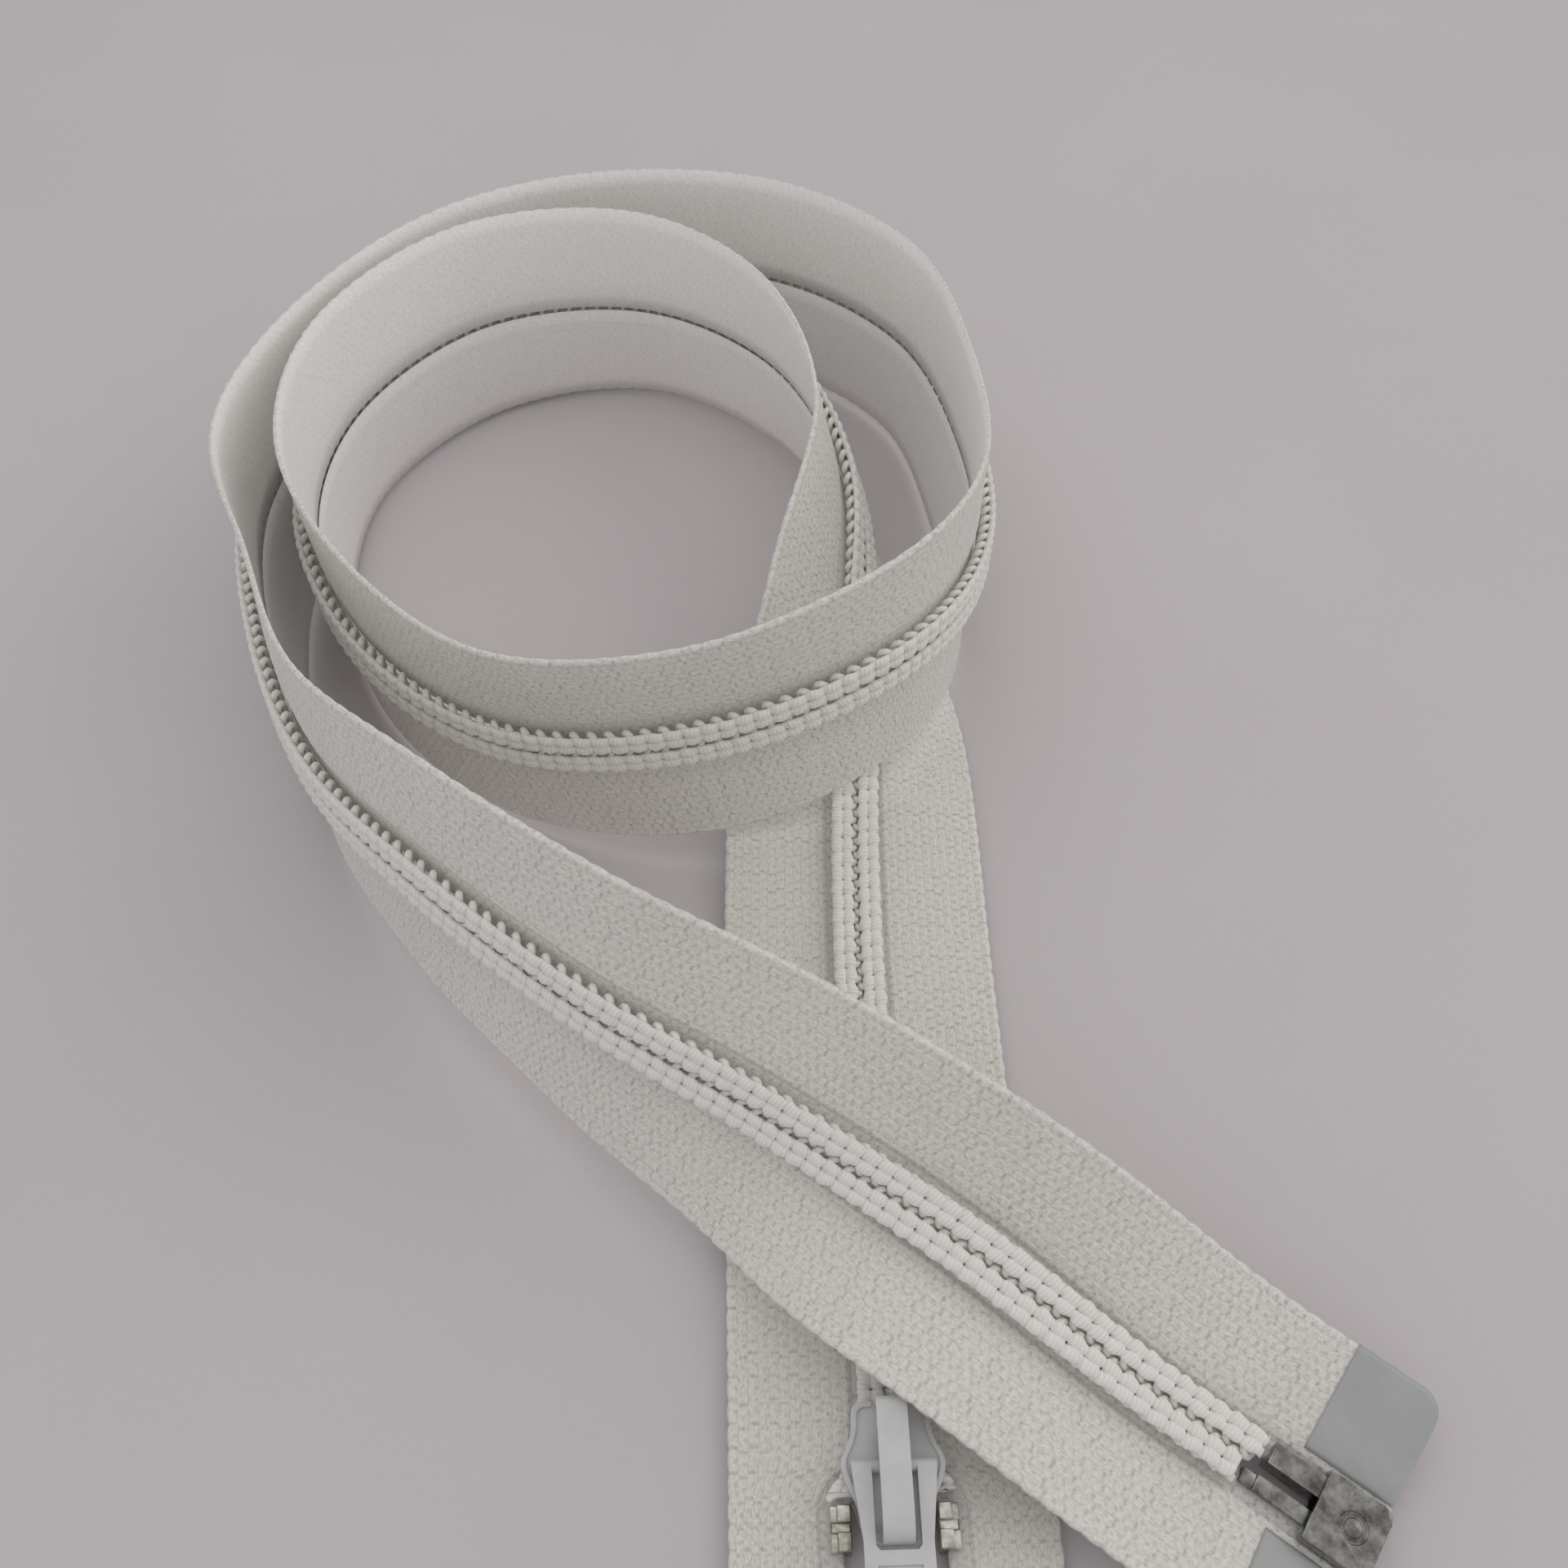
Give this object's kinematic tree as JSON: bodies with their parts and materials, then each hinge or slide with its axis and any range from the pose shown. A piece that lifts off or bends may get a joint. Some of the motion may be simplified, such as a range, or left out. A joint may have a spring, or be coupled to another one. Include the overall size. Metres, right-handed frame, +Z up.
{
  "type": "zipper",
  "caption": "Closed separating nylon-coil zipper with auto-lock slider, pull tab, top stops, box and pin, curled loosely into a standing loop.",
  "frame": {"origin": "bottom centre of the bounding box, on the surface the zipper lies on", "axes": "+Z up; +Y along the flat stretch of the chain, from the slider towards the loop; +X to the right of the flat stretch"},
  "size_m": [0.1336, 0.2024, 0.0409],
  "materials": {
    "woven_tape": "matt woven polyester",
    "nylon_coil": "semi-gloss monofilament",
    "core_cord": "matt twisted cord",
    "sewing_thread": "satin twisted thread",
    "tape_film": "smooth, slightly see-through",
    "stop_metal": "tumbled bright",
    "nickel": "bright nickel plating, dark reflections",
    "white_lacquer": "semi-gloss white lacquer on zinc",
    "spring_steel": "plain spring steel"
  },
  "bodies": {
    "chain_and_tapes": {"tape_left": "woven_tape", "tape_right": "woven_tape", "coil_left": "nylon_coil", "coil_right": "nylon_coil", "core_cord_left": "core_cord", "core_cord_right": "core_cord", "stitch_left_outer": "sewing_thread", "stitch_left_inner": "sewing_thread", "stitch_right_inner": "sewing_thread", "stitch_right_outer": "sewing_thread", "film_left": "tape_film", "film_right": "tape_film", "top_stop_left": "stop_metal", "top_stop_right": "stop_metal", "insertion_pin": "nickel", "retainer_pin": "nickel", "retainer_box": "nickel"},
    "slider": {"slider_body": "white_lacquer", "slider_cap": "white_lacquer"},
    "pull": {"pull_tab": "white_lacquer"},
    "pawl": {"lock_spring": "spring_steel"}
  },
  "joints": [
    {"name": "slider_travel", "type": "slide", "parent": "chain_and_tapes", "child": "slider", "axis": [0, 1, 0], "range_m": [0, 0.05], "deforming": ["tape_left", "tape_right", "coil_left", "coil_right", "core_cord_left", "core_cord_right", "stitch_left_outer", "stitch_left_inner", "stitch_right_inner", "stitch_right_outer"]},
    {"name": "pull_swing", "type": "hinge", "parent": "slider", "child": "pull", "pos_m": [0.01299, -0.07431, 0.0065], "axis": [-1, 0, 0], "range_deg": [0, 85]},
    {"name": "pawl_lift", "type": "hinge", "parent": "slider", "child": "pawl", "pos_m": [0.01299, -0.06971, 0.00755], "axis": [-1, 0, 0], "range_deg": [0, 4]}
  ],
  "couplings": [
    {"joint": "pawl_lift", "follows": "pull_swing", "ratio": 0.047}
  ]
}
